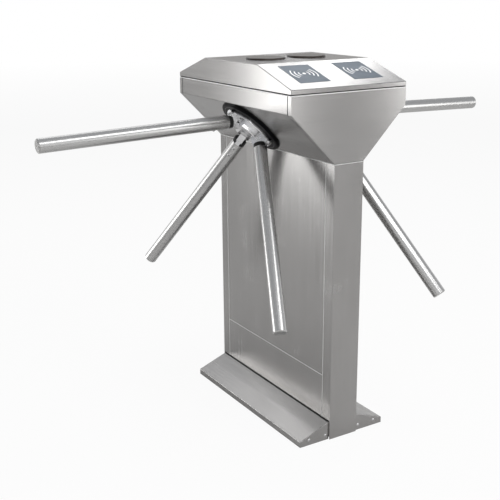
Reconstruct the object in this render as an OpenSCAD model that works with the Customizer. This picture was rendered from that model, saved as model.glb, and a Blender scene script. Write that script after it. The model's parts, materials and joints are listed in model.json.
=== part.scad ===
// Double tripod turnstile: a slim column that carries a wide head with a three-arm rotor on each side.
// X runs across the passage, Y runs along it with the card readers at -Y, and Z points up.
// The origin is on the floor at the centre of the column.

/* [Cabinet] */
// Length of the column and the head, along the passage
unit_l = 600; // [580:5:660]
// Thickness of the column, across the passage
column_w = 95; // [92:1:104]
// Width of the head, across the passage
head_w = 370; // [364:2:390]
// Height of the fold between the head's upright band and its sloping underside
band_z = 935; // [920:5:980]
// Height of the upright band
band_h = 49; // [46:1:60]
// Angle of the sloping underside, from the horizontal
slope_a = 45; // [44:0.5:46]
// Thickness of the sheet metal
sheet_t = 1.5; // [1.2:0.1:1.8]
// Width of the end plates' returns round the head's long edges
return_w = 16; // [12:1:20]
// Width of the column covers' returns on the sides
wrap_w = 37; // [30:1:45]
// Gap between neighbouring sheets
seam = 0.8; // [0.4:0.1:1.2]
// Height of the seam between the upper and the lower side panels
panel_seam_z = 186; // [160:2:260]

/* [Lid] */
// Height of the upright lip round the lid
lip_h = 12; // [8:1:16]
// Height of the lid above its lip
crown_h = 52; // [44:1:60]
// Length of the flat top, along the passage
flat_l = 280; // [260:5:300]
// Gap between the head and the lid, filled by the seal
lid_gap = 2; // [1.5:0.1:3]
// Width of the inward rims that the seal lies on
rim_w = 14; // [12:1:16]
// Width of a card reader window
reader_w = 95; // [80:1:100]
// Length of a card reader window, up the slope
reader_l = 111; // [90:1:115]
// Distance from the middle to the centre of a card reader window
reader_x = 86; // [70:1:95]
// Distance from the slope's lower edge to the centre of a reader window
reader_up = 92; // [80:1:96]
// Diameter of an indicator lens
lens_d = 111; // [90:1:118]
// Distance from the middle to the centre of an indicator lens
lens_x = 69; // [62:1:80]
// Height of an indicator lens above the lid
lens_h = 5; // [4:0.5:8]

/* [Base] */
// Thickness of the floor plate
plate_t = 8; // [6:1:12]
// How far a toe cover reaches out from the column
toe_w = 98; // [90:1:110]
// Height of a toe cover against the column
toe_h = 54; // [44:1:70]
// Height of a toe cover's outer lip
toe_lip = 17; // [14:1:20]
// How far the toe covers' ends stand back from the column's ends
toe_back = 5; // [3:1:10]
// Diameter of the floor anchor holes
anchor_d = 14; // [12:1:18]
// Distance of the anchor holes from the middle, across the passage
anchor_x = 105; // [95:1:110]
// Distance of the anchor holes from the middle, along the passage
anchor_y = 240; // [200:5:250]
// Diameter of the cable hole in the floor grommet
cable_d = 40; // [20:1:50]

/* [Rotor] */
// Shift of a rotor up its sloping plate, from the plate's middle
rotor_shift = 2; // [0:0.5:3]
// Angle between an arm and the rotor's axis
cone_a = 43.5; // [43:0.5:45]
// Depth at which the arms' centre lines meet, behind the sloping plate
apex_depth = 28; // [26:1:30]
// Reach of an arm, from where the centre lines meet to its end
arm_reach = 640; // [560:5:660]
// Diameter of an arm tube
tube_d = 38; // [36:1:40]
// Wall of an arm tube
tube_t = 1.5; // [1.2:0.1:1.8]
// Distance from where the centre lines meet to the start of the tube
tube_from = 99; // [97:1:104]
// Thickness of an arm's root plate
root_t = 13; // [12:0.5:15]
// Outer diameter of the black collar
collar_d = 197; // [190:1:197]
// Inner diameter of the black collar
collar_bore = 142; // [140:1:145]
// Height of the black collar
collar_h = 8; // [7:0.5:9]
// Diameter of the hub's flange
hub_d = 148; // [147:0.5:152]
// Thickness of the hub's flange
flange_t = 7.4; // [6:0.2:8]
// Height of the hub's boss above its flange
boss_h = 14.6; // [12:0.2:17]
// Distance from the rotor's axis to the boss's flat sides
boss_flat = 42; // [40:0.5:45]
// Radius of the lugs that hold the arms
lug_r = 21.5; // [20:0.5:22]

/* [Mechanism] */
// Diameter of the rotor shaft
shaft_d = 25; // [22:1:28]
// Outer diameter of a shaft bearing
bearing_d = 52; // [50:1:54]
// Width of a shaft bearing
bearing_w = 15; // [12:1:16]
// Thickness of the mechanism plate
chassis_t = 10; // [8:1:12]
// Height of the studs that carry the mechanism plate
stud_h = 12; // [10:1:14]
// Module of the gears
gear_m = 2; // [1.9:0.05:2.1]
// Teeth on the rotor gear
gear_z = 50; // [48:2:52]
// Teeth on the motor pinion
pinion_z = 20; // [18:1:21]
// Width of the gears
gear_w = 10; // [8:1:11]
// Diameter of the lock disc
disc_d = 92; // [88:1:94]
// Thickness of the lock disc and the lock lever
disc_t = 8; // [6:1:8]
// Turn of the lock lever from free to locked
lever_turn = 8.5; // [7:0.5:9]

/* [Hidden] */
$fn = 64;

steel = "silver";
dark = "dimgray";
black = "#202022";
cut = 1;            // overrun of a cutting shape past the face that it cuts
run = 0.05;         // radial clearance of a turning or sliding fit
fit_gap = 0.3;      // clearance of a piece in its pocket

// Head outline
fold_x = head_w / 2;
corner_x = column_w / 2;
half_l = unit_l / 2;
neck_z = band_z - (fold_x - corner_x) * tan(slope_a);   // where the head meets the column
rim_z = band_z + band_h;
lid_z = rim_z + lid_gap;
eave_z = lid_z + lip_h;
top_z = eave_z + crown_h;
lid_a = atan(crown_h / (half_l - flat_l / 2));

// Column
joint_t = 2;                        // edge of the frame's top plate, seen between head and column
cover_z = neck_z - joint_t;
inner_x = corner_x - sheet_t;
angle_w = 30;
angle_t = 3;
post_y = half_l - 8;                // outer face of the corner posts
rail_t = 4;
rail_h = 30;
tray_z = [340, 610];                // heights of the cross bars that hold the wiring tray
tray_t = 3;
board_up = 60;                      // heights of the control board, the power supply and the
power_up = 120;                     // terminals above the tray's lower cross bar
clips_up = 40;
neck_bolt_r = 3;
neck_bolt_x = inner_x - rail_t - 6;
neck_bolt_y = 215;

// Rotor and its place on the sloping plate
rotor_x = (fold_x + corner_x) / 2 + rotor_shift * cos(slope_a);
rotor_z = (band_z + neck_z) / 2 + rotor_shift * sin(slope_a);
opening_r = collar_bore / 2 + 1;    // round opening in the sloping plate
hub_r = hub_d / 2;
hub_core_r = collar_bore / 2 - 5;   // the hub's middle, which reaches down inside the collar
hub_foot = 3;
hub_low = collar_h + 0.6;           // underside of the hub's flange
hub_deck = hub_low + flange_t;
boss_top = hub_deck + boss_h;
tube_r = tube_d / 2;
tube_in = tube_r - tube_t;
root_half = tube_r - 0.3;           // half the depth of a root plate outside the tube
spigot_half = sqrt(pow(tube_in - 0.2, 2) - pow(root_t / 2, 2));
spigot_l = 75;
cap_t = 4;
screw_at = [17, 43];                // distances of the arm screws from the tube's start
plug_out = 12;                      // how far the black fillers stand out of a tube
lug_from = 30;
lug_to = tube_from - 0.8;
lug_mid = lug_to - lug_r;           // middle of a lug's round end
lug_half = root_t / 2 + 3;          // half a lug's width across its two cheeks
boss_side = 34;                     // length of a broad flat of the boss
clamp_r = 4;                        // bolt that comes in from the hub's rim at each arm
clamp_head_r = 8.5;
clamp_h = collar_h + clamp_head_r * cos(30) + 0.7;
clamp_in = hub_r - 20;
pad_out = hub_r + 1.5;              // outer face of the pad under a clamp bolt's head

// Mechanism, measured along the rotor's axis from the sloping plate, inwards
chassis_top = -sheet_t - stud_h;
chassis_low = chassis_top - chassis_t;
housing_r = bearing_d / 2 + 9;
housing_low = chassis_low - 38.5;
housing_top = chassis_top + 8;
gear_top = housing_low - 4;
gear_low = gear_top - gear_w;
disc_top = gear_low - 6;
disc_low = disc_top - disc_t;
motor_y = gear_m * (gear_z + pinion_z) / 2;
motor_r = 29;
motor_low = gear_top + 6.5;
pivot_u = -48;
pivot_y = -disc_d / 2 - 20;
tooth_rest = disc_d / 2 + 1.2;      // where the lever's tooth ends when the rotor is free
notch_half = 10;
notch_depth = 10;
push_u = 24;                        // line of the solenoid's push
push_y = pivot_y;
plunger_r = 5;
pin_r = 3;
solenoid_y = push_y - 18;           // front face of the solenoid
solenoid_l = 44;
solenoid_w = 32;

// Lid lock
lock_z = rim_z - 26;
lock_r = 9;
cam_y = half_l - 28;
cam_l = 26;
cam_half = 5;
cam_t = 3;
key_r = 4;                          // spindle that joins the cam to the barrel
key_l = 18;
lid_pin_y = 200;
lid_pin_r = 3;

// Tools for placing and for plain sheets

// Sets its children on the rotor's axis: local X up the slope, Y along the passage, Z outwards
module on_rotor(side) {
    rotate([0, 0, 180 * side])
        translate([-rotor_x, 0, rotor_z])
            rotate([0, slope_a - 180, 0])
                children();
}

// Sets its children on an arm's centre line: local Z along the arm, X towards the head, Y round the rotor
module on_arm(side, k) {
    on_rotor(side)
        translate([0, 0, -apex_depth])
            rotate([0, 0, 120 * k])
                rotate([0, cone_a, 0])
                    children();
}

module both_sides() {
    for (side = [0, 1])
        on_rotor(side)
            children();
}

// A bar from one corner to the opposite one
module block(low, high) {
    translate(low)
        cube(high - low);
}

module pipe(r_out, r_in, from, to) {
    translate([0, 0, from])
        difference() {
            cylinder(r = r_out, h = to - from);
            translate([0, 0, -cut])
                cylinder(r = r_in, h = to - from + 2 * cut);
        }
}

// Half the section of a disc whose upper edge is rounded
module round_edge(disc_r, h, edge_r) {
    square([disc_r, h - edge_r]);
    square([disc_r - edge_r, h]);
    intersection() {
        translate([disc_r - edge_r, h - edge_r])
            circle(r = edge_r);
        square([disc_r, h]);
    }
}

// The head's outline across the passage, moved inwards by t, with its top edge at top
function head_outline(t, top) =
    let (rise = t * (1 / cos(slope_a) - tan(slope_a)),
         foot = corner_x - t * (1 / cos(slope_a) - 1) / tan(slope_a))
    [[-fold_x + t, top], [-fold_x + t, band_z + rise], [-foot, neck_z + t],
     [foot, neck_z + t], [fold_x - t, band_z + rise], [fold_x - t, top]];

// The lid's outline along the passage, moved inwards by t, with its lower edge at low
function lid_outline(t, low) =
    let (drop = t * (1 / cos(lid_a) - tan(lid_a)), turn = t * (1 / cos(lid_a) - 1) / tan(lid_a))
    [[-half_l + t, low], [-half_l + t, eave_z - drop], [-flat_l / 2 + turn, top_z - t],
     [flat_l / 2 - turn, top_z - t], [half_l - t, eave_z - drop], [half_l - t, low]];

module across(points, from, to) {
    translate([0, to, 0])
        rotate([90, 0, 0])
            linear_extrude(height = to - from)
                polygon(points);
}

module along(points, half_width) {
    rotate([90, 0, 90])
        linear_extrude(height = 2 * half_width, center = true)
            polygon(points);
}

// Base and column

module base_plate() {
    color(dark)
        difference() {
            block([-corner_x - toe_w + 6, -half_l + 15, 0], [corner_x + toe_w - 6, half_l - 15, plate_t]);
            for (x = [-anchor_x, anchor_x], y = [-anchor_y, anchor_y])
                translate([x, y, -cut])
                    cylinder(d = anchor_d, h = plate_t + 2 * cut);
            translate([0, 0, -cut])
                cylinder(d = cable_d + 12, h = plate_t + 2 * cut);
        }
}

module cable_grommet() {
    lip = 3;
    color(black) {
        difference() {
            union() {
                cylinder(d = cable_d + 12 - 2 * run, h = plate_t);
                translate([0, 0, plate_t])
                    cylinder(d = cable_d + 24, h = lip);
            }
            translate([0, 0, -cut])
                cylinder(d = cable_d, h = plate_t + lip + 2 * cut);
        }
    }
}

module corner_post() {
    difference() {
        block([inner_x - angle_w, post_y - angle_w, plate_t], [inner_x, post_y, cover_z]);
        block([inner_x - angle_w - cut, post_y - angle_w - cut, plate_t - cut],
              [inner_x - angle_t, post_y - angle_t, cover_z + cut]);
    }
}

module frame_quarter() {
    corner_post();
    for (z = [plate_t, panel_seam_z - rail_h / 2, cover_z - rail_h]) {
        block([inner_x - rail_t, -cut, z], [inner_x, post_y - angle_w + cut, z + rail_h]);
        block([-cut, post_y - rail_t, z], [inner_x - angle_w + cut, post_y, z + rail_h]);
    }
    for (z = tray_z)
        block([-cut, post_y - rail_t, z], [inner_x - angle_w + cut, post_y, z + rail_h]);
}

module inner_frame() {
    window_y = half_l - 60;
    color(dark)
        difference() {
            union() {
                for (mx = [0, 1], my = [0, 1])
                    mirror([mx, 0, 0])
                        mirror([0, my, 0])
                            frame_quarter();
                block([-corner_x, -half_l, cover_z], [corner_x, half_l, neck_z]);
                block([-tray_t / 2, -post_y + rail_t - cut, tray_z[0]],
                      [tray_t / 2, post_y - rail_t + cut, tray_z[1] + rail_h]);
            }
            block([-inner_x + 16, -window_y, cover_z - cut], [inner_x - 16, window_y, neck_z + cut]);
            for (x = [-1, 1], y = [-1, 1])
                translate([x * neck_bolt_x, y * neck_bolt_y, cover_z - rail_h])
                    cylinder(r = neck_bolt_r + fit_gap, h = rail_h + joint_t + cut);
        }
}

// Cover on one end of the column: end = -1 at the readers' end, 1 at the other
module column_cover(end) {
    mirror([0, end > 0 ? 0 : 1, 0])
        color(steel)
            difference() {
                union() {
                    block([-corner_x, half_l - sheet_t, 0], [corner_x, half_l, cover_z]);
                    block([-corner_x, half_l - wrap_w, plate_t], [corner_x, half_l, cover_z]);
                }
                block([-inner_x, half_l - wrap_w - cut, plate_t - cut],
                      [inner_x, half_l - sheet_t, cover_z + cut]);
            }
}

module column_front_cover() { column_cover(-1); }
module column_back_cover() { column_cover(1); }

module side_panel(side, from, to) {
    panel_y = half_l - wrap_w - seam;
    color(steel)
        rotate([0, 0, 180 * side])
            block([-corner_x, -panel_y, from], [-inner_x, panel_y, to]);
}

module upper_panel_left() { side_panel(0, panel_seam_z + seam / 2, cover_z); }
module upper_panel_right() { side_panel(1, panel_seam_z + seam / 2, cover_z); }
module lower_panel_left() { side_panel(0, plate_t, panel_seam_z - seam / 2); }
module lower_panel_right() { side_panel(1, plate_t, panel_seam_z - seam / 2); }

// Wedge outline of a toe cover, moved inwards by t
function toe_outline(t) =
    let (a = atan((toe_h - toe_lip) / toe_w), far = -corner_x - toe_w + t)
    [[-corner_x, -cut * t], [far, -cut * t], [far, toe_lip - t * (1 / cos(a) - tan(a))],
     [-corner_x, toe_h - t / cos(a)]];

module toe_cover(side) {
    toe_y = half_l - toe_back;
    color(steel)
        rotate([0, 0, 180 * side])
            difference() {
                across(toe_outline(0), -toe_y, toe_y);
                translate([cut, 0, 0])
                    across(toe_outline(sheet_t), -toe_y + sheet_t, toe_y - sheet_t);
                across(toe_outline(sheet_t), -toe_y + sheet_t, toe_y - sheet_t);
            }
}

module toe_cover_left() { toe_cover(0); }
module toe_cover_right() { toe_cover(1); }

// Head

module head_end(end) {
    color(steel)
        mirror([0, end > 0 ? 0 : 1, 0])
            difference() {
                across(head_outline(0, rim_z), half_l - return_w, half_l);
                across(head_outline(sheet_t, rim_z - sheet_t), half_l - return_w - cut, half_l - sheet_t);
                if (end > 0)
                    translate([0, half_l - return_w, lock_z])
                        rotate([-90, 0, 0])
                            cylinder(r = lock_r + run, h = return_w + cut);
            }
}

module head_front_plate() { head_end(-1); }
module head_back_plate() { head_end(1); }

module head_side(side) {
    end_y = half_l - return_w - seam;
    floor_w = 26;
    p = head_outline(0, rim_z);
    q = head_outline(sheet_t, rim_z - sheet_t);
    color(steel)
        rotate([0, 0, 180 * side])
            difference() {
                across([p[0], p[1], [-corner_x, neck_z], [-corner_x + floor_w, neck_z],
                        [-corner_x + floor_w, neck_z + sheet_t], q[2], q[1], q[0],
                        [-fold_x + rim_w, rim_z - sheet_t], [-fold_x + rim_w, rim_z]], -end_y, end_y);
                on_rotor(0)
                    translate([0, 0, -2 * sheet_t])
                        cylinder(r = opening_r, h = 4 * sheet_t);
                for (y = [-neck_bolt_y, neck_bolt_y])
                    translate([-neck_bolt_x, y, neck_z - cut])
                        cylinder(r = neck_bolt_r + fit_gap, h = 2 * cut + sheet_t);
                for (y = [-lid_pin_y, lid_pin_y])
                    translate([-fold_x + rim_w / 2 + 1, y, rim_z - 2 * sheet_t])
                        cylinder(r = lid_pin_r + fit_gap, h = 4 * sheet_t);
            }
}

module head_side_left() { head_side(0); }
module head_side_right() { head_side(1); }

module lid_seal() {
    edge = sheet_t;
    color(black)
        difference() {
            block([-fold_x + edge, -half_l + edge, rim_z], [fold_x - edge, half_l - edge, lid_z]);
            block([-fold_x + rim_w, -half_l + rim_w, rim_z - cut],
                  [fold_x - rim_w, half_l - rim_w, lid_z + cut]);
            for (x = [-1, 1], y = [-lid_pin_y, lid_pin_y])
                translate([x * (fold_x - rim_w / 2 - 1), y, rim_z - cut])
                    cylinder(r = lid_pin_r + fit_gap, h = lid_gap + 2 * cut);
        }
}

// Dome-headed rivet with its flat side at z = 0
module rivet(r, h) {
    rotate_extrude()
        intersection() {
            translate([0, h - (r * r + h * h) / (2 * h)])
                circle(r = (r * r + h * h) / (2 * h), $fn = 96);
            square([r, h]);
        }
}

module neck_bolt() {
    grip = sheet_t + joint_t;
    translate([0, 0, -joint_t - 6])
        cylinder(r = neck_bolt_r, h = grip + 6);
    translate([0, 0, sheet_t])
        cylinder(r = 6, h = 4, $fn = 6);
    translate([0, 0, -joint_t - 5])
        cylinder(r = 5.5, h = 5, $fn = 6);
}

module casing_fasteners() {
    rivet_x = [corner_x + 10.5, corner_x + 67.5];
    rivet_z = 16;
    color("gainsboro") {
        for (sx = [-1, 1], end = [-1, 1], x = rivet_x)
            translate([sx * x, end * (half_l - toe_back), rivet_z])
                rotate([end > 0 ? -90 : 90, 0, 0])
                    rivet(4.5, 2);
        for (x = [-1, 1], y = [-1, 1])
            translate([x * neck_bolt_x, y * neck_bolt_y, neck_z])
                neck_bolt();
    }
}

// Wiring inside the column, on the tray between the posts

board_l = 180;
board_h = 130;
board_gap = 8;

module control_board() {
    face = -tray_t / 2 - board_gap;
    z0 = tray_z[0] + board_up;
    color("#24503a") {
        block([face - 1.6, -board_l / 2, z0], [face, board_l / 2, z0 + board_h]);
        for (y = [-1, 1], z = [10, board_h - 10])
            translate([face, y * (board_l / 2 - 10), z0 + z])
                rotate([0, 90, 0])
                    cylinder(r = 3, h = board_gap);
        for (y = [-70, -46, -22, 2])
            block([face - 14, y, z0 + 8], [face - 1.6, y + 20, z0 + 22]);
        block([face - 6, -30, z0 + 50], [face - 1.6, 10, z0 + 90]);
        for (y = [40, 62])
            translate([face - 1.6, y, z0 + 95])
                rotate([0, -90, 0])
                    cylinder(r = 8, h = 16);
    }
}

module power_supply() {
    face = tray_t / 2;
    z0 = tray_z[0] + power_up;
    color("gainsboro")
        difference() {
            block([face, -80, z0], [face + 36, 80, z0 + 98]);
            for (y = [-60 : 12 : 36])
                block([face + 34.5, y, z0 + 20], [face + 36 + cut, y + 6, z0 + 78]);
            block([face + 14, 62, z0 - cut], [face + 36 + cut, 80 + cut, z0 + 98 + cut]);
        }
}

module wiring_terminals() {
    face = tray_t / 2;
    z0 = tray_z[0] + clips_up;
    pitch = 8;
    color("#8a8f94") {
        block([face, -110, z0], [face + 6, 110, z0 + 35]);
        for (i = [0 : 15])
            block([face + 6, -96 + i * pitch, z0 - 4], [face + 40, -96 + i * pitch + pitch - 0.6, z0 + 39]);
    }
}

// Lid

module on_reader(x) {
    translate([x, -half_l + reader_up * cos(lid_a), eave_z + reader_up * sin(lid_a)])
        rotate([lid_a, 0, 0])
            children();
}

module lid_shell() {
    difference() {
        along(lid_outline(0, lid_z), fold_x);
        along(lid_outline(sheet_t, lid_z + sheet_t), fold_x - sheet_t);
        block([-fold_x + rim_w, -half_l + rim_w, lid_z - cut], [fold_x - rim_w, half_l - rim_w, eave_z]);
        for (x = [-reader_x, reader_x])
            on_reader(x)
                block([-reader_w / 2, -reader_l / 2, -2 * sheet_t], [reader_w / 2, reader_l / 2, cut]);
        for (x = [-lens_x, lens_x])
            translate([x, 0, top_z - 2 * sheet_t])
                cylinder(d = lens_d - 8, h = 2 * sheet_t + cut);
    }
}

// Strap from the lid's rear rim, with a foot that the lock's cam holds down
module lid_catch() {
    strap = [14, 28];
    back = cam_y - 6;
    foot_z = lock_z - cam_half - 3;
    block([strap[0], back, lid_z + sheet_t], [strap[1], half_l - 4, lid_z + sheet_t + 2]);
    block([strap[0], back, foot_z], [strap[1], back + 2, lid_z + sheet_t + 2]);
    block([strap[0], back, foot_z], [strap[1], cam_y + cam_t + 1, foot_z + 2]);
}

module top_lid() {
    color(steel) {
        lid_shell();
        lid_catch();
        for (x = [-1, 1], y = [-lid_pin_y, lid_pin_y])
            translate([x * (fold_x - rim_w / 2 - 1), y, lid_z - 18])
                cylinder(r = lid_pin_r, h = 18 + sheet_t);
    }
}

module reader_windows() {
    color("#5d6b78")
        for (x = [-reader_x, reader_x])
            on_reader(x)
                block([-reader_w / 2, -reader_l / 2, -sheet_t], [reader_w / 2, reader_l / 2, 0.4]);
}

module indicator_lenses() {
    color("#3a2b26")
        for (x = [-lens_x, lens_x])
            translate([x, 0, top_z]) {
                rotate_extrude($fn = 96)
                    round_edge(lens_d / 2, lens_h, 3);
                translate([0, 0, -8])
                    cylinder(d = lens_d - 8 - 2 * run, h = 8);
            }
}

module lid_boards() {
    margin = 6;
    skin = -sheet_t - 0.05;         // just clear of the lid's inner face
    color("#2c5a7a") {
        for (x = [-reader_x, reader_x])
            on_reader(x) {
                block([-reader_w / 2 - margin, -reader_l / 2 - margin, skin - 2],
                      [reader_w / 2 + margin, reader_l / 2 + margin, skin]);
                block([-reader_w / 2 + 4, -reader_l / 2 + 4, skin - 14],
                      [reader_w / 2 - 4, reader_l / 2 - 4, skin - 2]);
            }
        for (x = [-lens_x, lens_x])
            translate([x, 0, top_z - 8 - 1.6]) {
                cylinder(d = lens_d - 14, h = 1.6);
                translate([0, 0, -6])
                    cylinder(d = 30, h = 6);
            }
    }
}

// Lid lock on the back plate

module lock_barrel() {
    color("gainsboro")
        translate([0, 0, lock_z])
            rotate([-90, 0, 0])
                difference() {
                    union() {
                        translate([0, 0, cam_y + cam_t + 2])
                            cylinder(r = lock_r, h = half_l - cam_y - cam_t - 2);
                        translate([0, 0, half_l])
                            cylinder(r = lock_r + 3, h = 3);
                        translate([0, 0, half_l - sheet_t - 6])
                            cylinder(r = lock_r + 4, h = 6, $fn = 6);
                    }
                    translate([0, 0, cam_y])
                        cylinder(r = key_r + run, h = cam_t + key_l + fit_gap);
                }
}

module lock_cam() {
    color(dark)
        translate([0, 0, lock_z])
            rotate([-90, 0, 0]) {
                translate([0, 0, cam_y])
                    cylinder(r = key_r, h = cam_t + key_l);
                translate([0, 0, cam_y])
                    cylinder(r = 7, h = cam_t);
                translate([-cam_half, -cam_l, cam_y])
                    cube([2 * cam_half, cam_l, cam_t]);
            }
}

// Fixed pieces of the two rotors

// Black ring, cut flat where it meets the fold above it and the column below it
module collar() {
    edge = 0.6;
    up = (fold_x - rotor_x) / cos(slope_a) - edge;
    down = (rotor_x - corner_x) / cos(slope_a) - edge;
    intersection() {
        rotate_extrude($fn = 128)
            difference() {
                round_edge(collar_d / 2, collar_h, 6);
                square([collar_bore / 2, collar_h]);
            }
        block([-down, -collar_d, -cut], [up, collar_d, collar_h + cut]);
    }
}

module rotor_collars() {
    color(black)
        both_sides()
            collar();
}

chassis_u = 72;
chassis_y = [-136, 108];
stud_at = [[60, -100], [-60, -100], [60, 92], [-60, 92]];
post_top = disc_top + 0.5;

module chassis() {
    difference() {
        union() {
            block([-chassis_u, chassis_y[0], chassis_low], [chassis_u, chassis_y[1], chassis_top]);
            for (p = stud_at)
                translate([p[0], p[1], chassis_top])
                    cylinder(r = 8, h = stud_h);
            translate([pivot_u, pivot_y, post_top])
                cylinder(r = 9, h = chassis_low - post_top);
            translate([pivot_u, pivot_y, disc_low - 4])
                cylinder(r = 4, h = post_top - disc_low + 4);
        }
        translate([0, 0, chassis_low - cut])
            cylinder(r = housing_r + run, h = chassis_t + 2 * cut);
    }
}

module chassis_plates() {
    color("lightgray")
        both_sides()
            chassis();
}

module housing() {
    seat = bearing_d / 2 + run;
    difference() {
        union() {
            translate([0, 0, housing_low])
                cylinder(r = housing_r, h = chassis_top - housing_low);
            translate([0, 0, chassis_top])
                cylinder(r = housing_r + 11, h = housing_top - chassis_top);
        }
        translate([0, 0, housing_low - cut])
            cylinder(r = bearing_d / 2 - 4, h = housing_top - housing_low + 2 * cut);
        translate([0, 0, housing_low - cut])
            cylinder(r = seat, h = bearing_w + 2 + cut);
        translate([0, 0, housing_top - bearing_w - 2])
            cylinder(r = seat, h = bearing_w + 2 + cut);
    }
}

module bearing_housings() {
    color("silver")
        both_sides()
            housing();
}

// Ball bearing as its two races and the shield between them
module bearing() {
    groove = 1;
    mid = (bearing_d + shaft_d) / 4;
    difference() {
        pipe(bearing_d / 2, shaft_d / 2, 0, bearing_w);
        for (z = [-cut, bearing_w - groove])
            translate([0, 0, z])
                difference() {
                    cylinder(r = mid + 3.5, h = groove + cut);
                    translate([0, 0, -cut])
                        cylinder(r = mid - 3.5, h = groove + 3 * cut);
                }
    }
}

module bearings() {
    color("gainsboro")
        both_sides() {
            translate([0, 0, housing_low + 2])
                bearing();
            translate([0, 0, housing_top - 2 - bearing_w])
                bearing();
        }
}

module gearmotor() {
    difference() {
        union() {
            translate([0, motor_y, motor_low])
                cylinder(r = motor_r, h = chassis_low - motor_low);
            translate([0, motor_y, motor_low - 2.5])
                cylinder(r = 12, h = 2.5);
            block([-9, motor_y + motor_r - 4, motor_low + 10],
                  [9, motor_y + motor_r + 8, motor_low + 22]);
        }
        translate([0, motor_y, motor_low - 2.5 - cut])
            cylinder(r = 5 + run, h = 16 + cut);
    }
}

module gearmotors() {
    color("#4a4e52")
        both_sides()
            gearmotor();
}

module solenoid() {
    mid = (disc_top + disc_low) / 2;
    back = solenoid_y - solenoid_l;
    difference() {
        block([push_u - solenoid_w / 2, back, mid - solenoid_w / 2],
              [push_u + solenoid_w / 2, solenoid_y, mid + solenoid_w / 2]);
        translate([push_u, back + 6, mid])
            rotate([-90, 0, 0])
                cylinder(r = plunger_r + run, h = solenoid_l);
    }
    block([push_u - solenoid_w / 2 - 4, back - 4, mid - solenoid_w / 2],
          [push_u + solenoid_w / 2 + 4, back, chassis_low]);
}

module solenoids() {
    color("#3d5a78")
        both_sides()
            solenoid();
}

// Proximity sensor that looks at the lock disc's rim, on its angle bracket
module position_sensor() {
    mid = (disc_top + disc_low) / 2;
    near = -disc_d / 2 - 1.5;
    plate_u = near - 12;
    difference() {
        union() {
            block([plate_u - 3, -12, mid - 12], [plate_u, 12, chassis_low]);
            block([plate_u - 3, -12, chassis_low - 3], [plate_u + 12, 12, chassis_low]);
        }
        translate([plate_u - 3 - cut, 0, mid])
            rotate([0, 90, 0])
                cylinder(r = 6 + run, h = 3 + 2 * cut);
    }
    translate([near - 22, 0, mid])
        rotate([0, 90, 0])
            cylinder(r = 6, h = 22);
}

module position_sensors() {
    color("#c46a20")
        both_sides()
            position_sensor();
}

// Return spring of the lock lever: a wound sleeve on the pivot post, with a leg along the lever
module lever_spring() {
    wire = 2;
    translate([pivot_u, pivot_y, 0]) {
        pipe(9 + run + wire, 9 + run, post_top, post_top + 7 * wire);
        block([9.5, -wire / 2, post_top], [30, wire / 2, post_top + wire]);
    }
}

module lever_springs() {
    color("gray")
        both_sides()
            lever_spring();
}

// Turning pieces of one rotor, drawn on its axis

// Outline of an arm's root plate in the plane of the axis, grown by g, from the hub's core to the tube
function root_outline(g) =
    let (c = cos(cone_a), s = sin(cone_a), w = root_half + g,
         front = w / s - apex_depth, back = -w / s - apex_depth,
         low = hub_low + 3 - g, in = shaft_d / 2 + 7.5 - g, out = tube_from + (g > 0 ? 30 : 0))
    [[in, low], [(low - back) * s / c, low], [out * s + w * c, out * c - apex_depth - w * s],
     [out * s - w * c, out * c - apex_depth + w * s], [in, in * c / s + front]];

module root_slab(k, g) {
    rotate([0, 0, 120 * k])
        rotate([90, 0, 0])
            linear_extrude(height = root_t + 2 * g, center = true)
                polygon(root_outline(g));
}

// Sets its children on an arm's centre line, inside the rotor's frame
module in_arm(k) {
    translate([0, 0, -apex_depth])
        rotate([0, 0, 120 * k])
            rotate([0, cone_a, 0])
                children();
}

// Side view of a lug with its round end, grown by g, as a plate of the given width
module lug_plate(g, width) {
    half = lug_r + g;
    rotate([90, 0, 0])
        linear_extrude(height = width, center = true) {
            translate([-half, lug_from])
                square([2 * half, lug_mid - lug_from]);
            translate([0, lug_mid])
                circle(r = half);
        }
}

// Lug round an arm's root plate: two flat cheeks, open in front of the plate near their round ends
module lug() {
    mark = 1.5;                     // depth of the three-cornered recess in a cheek
    difference() {
        lug_plate(0, 2 * lug_half);
        for (y = [-lug_half, lug_half])
            translate([0, y, lug_mid - 3])
                rotate([90, 0, 0])
                    cylinder(r = 8, h = 2 * mark, center = true, $fn = 3);
    }
}

// Bolt along the radius of arm k, from one distance to another
module clamp_bore(k, r, from, to) {
    rotate([0, 0, 120 * k])
        translate([from, 0, clamp_h])
            rotate([0, 90, 0])
                cylinder(r = r, h = to - from);
}

// Six-sided block under the boss's bevelled face; flat is the distance from its middle to a side
module boss_block(flat) {
    face_bevel = 2.5;
    corner_r = flat / cos(30);
    translate([0, 0, hub_low])
        cylinder(r = corner_r, h = boss_top - face_bevel - hub_low, $fn = 6);
    translate([0, 0, boss_top - face_bevel])
        cylinder(r1 = corner_r, r2 = corner_r - 2 * face_bevel, h = face_bevel, $fn = 6);
}

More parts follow.
